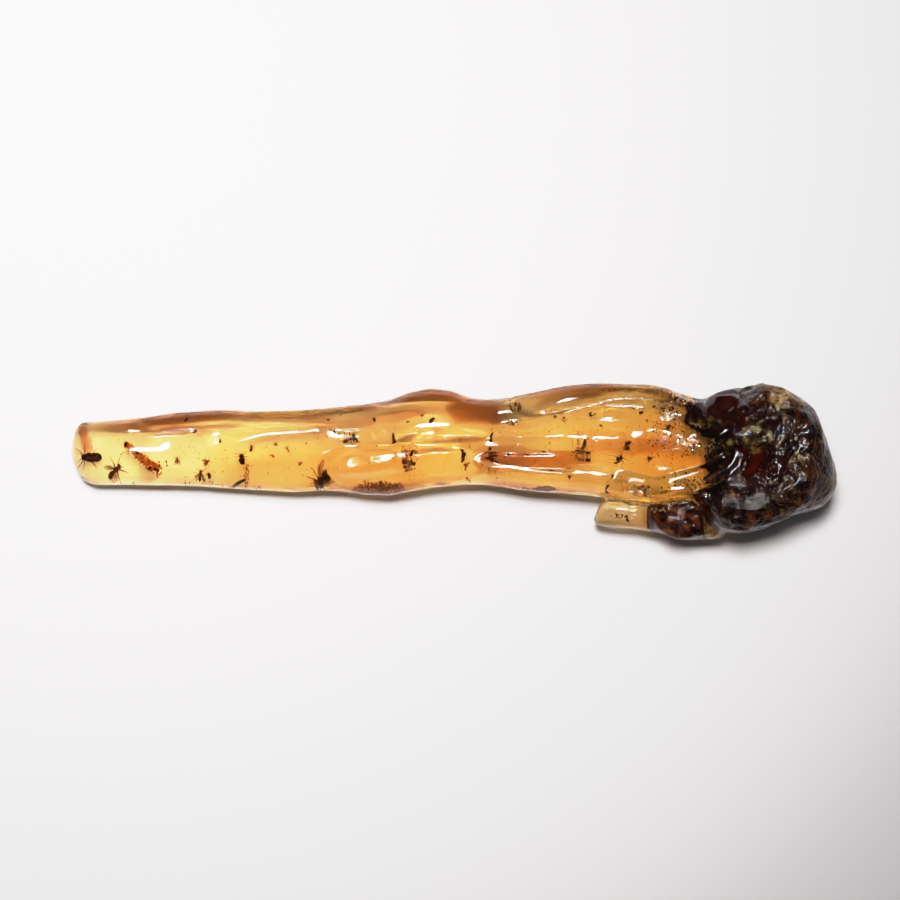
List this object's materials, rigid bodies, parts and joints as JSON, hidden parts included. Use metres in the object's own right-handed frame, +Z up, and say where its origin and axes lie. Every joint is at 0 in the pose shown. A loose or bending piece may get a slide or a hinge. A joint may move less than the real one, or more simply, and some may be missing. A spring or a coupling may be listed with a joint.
{
  "type": "copal with insects",
  "caption": "Long drip of clear golden copal with insects and plant bits sealed inside and a thick dark head full of bark and soil.",
  "frame": {"origin": "on the table, under the middle of the piece's outline seen from above", "axes": "+X along the piece from the cut end to the thick head, +Y to the side that is uppermost in the picture, +Z up from the table"},
  "size_m": [0.24, 0.0492, 0.0389],
  "materials": {
    "copal_resin": "clear golden resin, polished",
    "dark_debris": "bark and soil soaked with dark resin",
    "insect_chitin": "dark brown, slightly glossy",
    "plant_bits": "orange-brown, dull"
  },
  "bodies": {
    "root": {"copal_upper": "copal_resin", "copal_lower": "copal_resin", "bark_and_soil_lump": "dark_debris", "soil_clump": "dark_debris", "beetle_at_cut_end": "insect_chitin", "fly_near_cut_end": "insect_chitin", "midge": "insect_chitin", "oval_bug": "insect_chitin", "black_bee": "insect_chitin", "ant": "insect_chitin", "winged_ant": "insect_chitin", "moth": "insect_chitin", "wasp": "insect_chitin", "spider": "insect_chitin", "bark_crumb_string": "plant_bits", "wood_splinter": "plant_bits", "leaf_flake": "plant_bits"}
  },
  "joints": []
}
